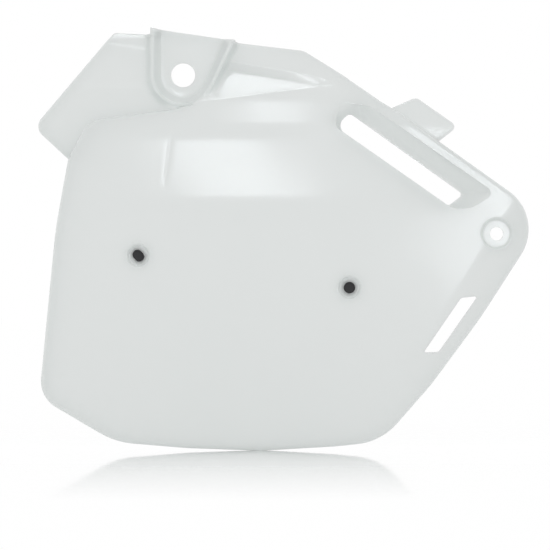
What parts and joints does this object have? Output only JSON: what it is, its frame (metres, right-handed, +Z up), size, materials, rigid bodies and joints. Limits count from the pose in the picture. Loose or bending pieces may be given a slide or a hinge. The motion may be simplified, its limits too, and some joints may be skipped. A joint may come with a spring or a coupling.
{
  "type": "motorcycle side panel",
  "caption": "Thin moulded side panel for an off-road motorcycle: a broad number-plate area, a rear wing, a recessed seat-bolt pocket, a slotted front rail and a dished front bolt hole.",
  "frame": {"origin": "on the seat bolt's axis, halfway through the pocket floor", "axes": "+X towards the front of the motorcycle, +Z up, the outer face looks along -Y"},
  "size_m": [0.3712, 0.044, 0.3195],
  "materials": {
    "shell": "semi-gloss white polypropylene, slightly translucent",
    "plug": "matt black rubber"
  },
  "bodies": {
    "root": {"side_panel": "shell", "rear_plug": "plug", "front_plug": "plug"}
  },
  "joints": []
}
